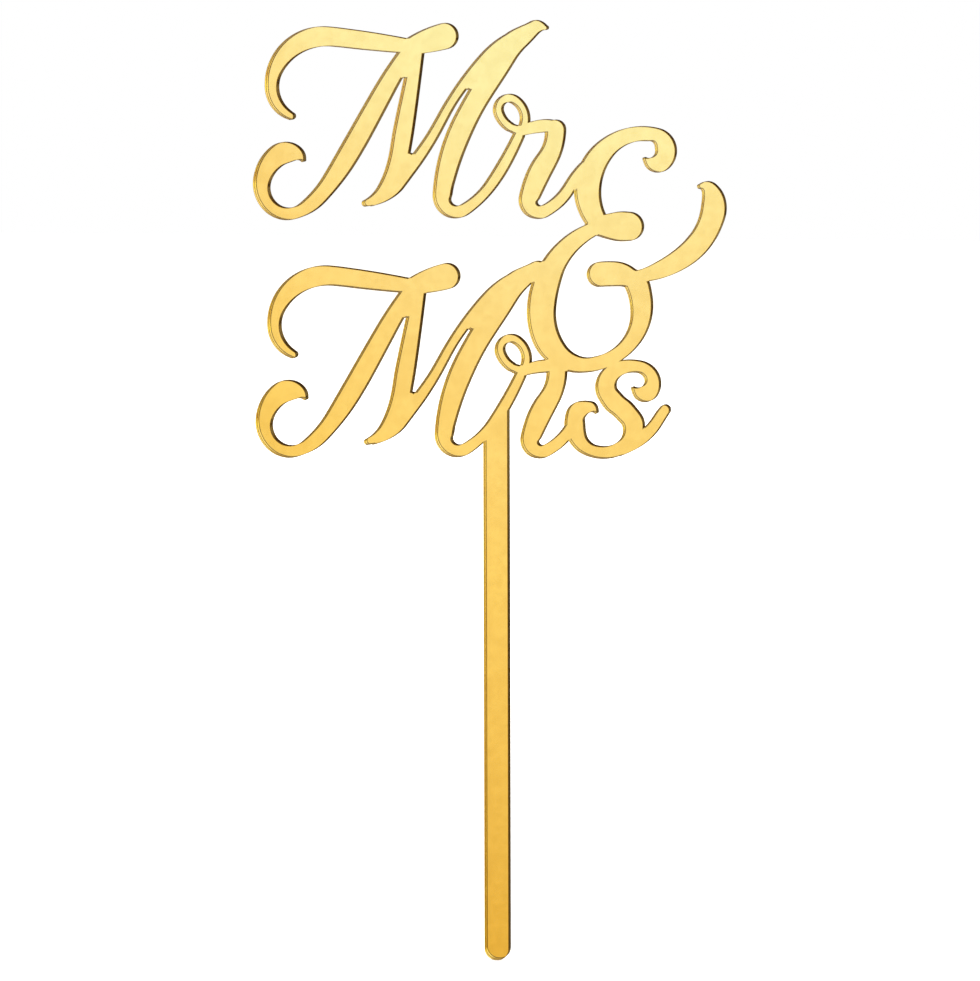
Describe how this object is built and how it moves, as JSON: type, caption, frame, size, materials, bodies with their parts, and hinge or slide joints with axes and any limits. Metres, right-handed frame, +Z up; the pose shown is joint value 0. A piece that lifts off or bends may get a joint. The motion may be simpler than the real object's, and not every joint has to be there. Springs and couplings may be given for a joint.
{
  "type": "cake topper",
  "caption": "Flat script cake topper cut from gold mirror acrylic: joined lines of flowing lettering around an ampersand, carried on a single flat stake that pushes into the cake.",
  "frame": {"origin": "centre of the stake's rounded tip, half-way through the sheet's thickness", "axes": "+Z up the stake towards the lettering, +X to the right for someone reading it, the readable mirror face towards -Y and the painted back towards +Y"},
  "size_m": [0.1132, 0.003, 0.223],
  "materials": {
    "amber_acrylic": "clear amber-tinted cast acrylic, polished face, laser-cut edges",
    "mirror": "vacuum-coated metal mirror seen through the acrylic",
    "paint": "thin grey protective paint, satin"
  },
  "bodies": {
    "root": {"acrylic_sheet": "amber_acrylic", "mirror_film": "mirror", "back_paint": "paint"}
  },
  "joints": []
}
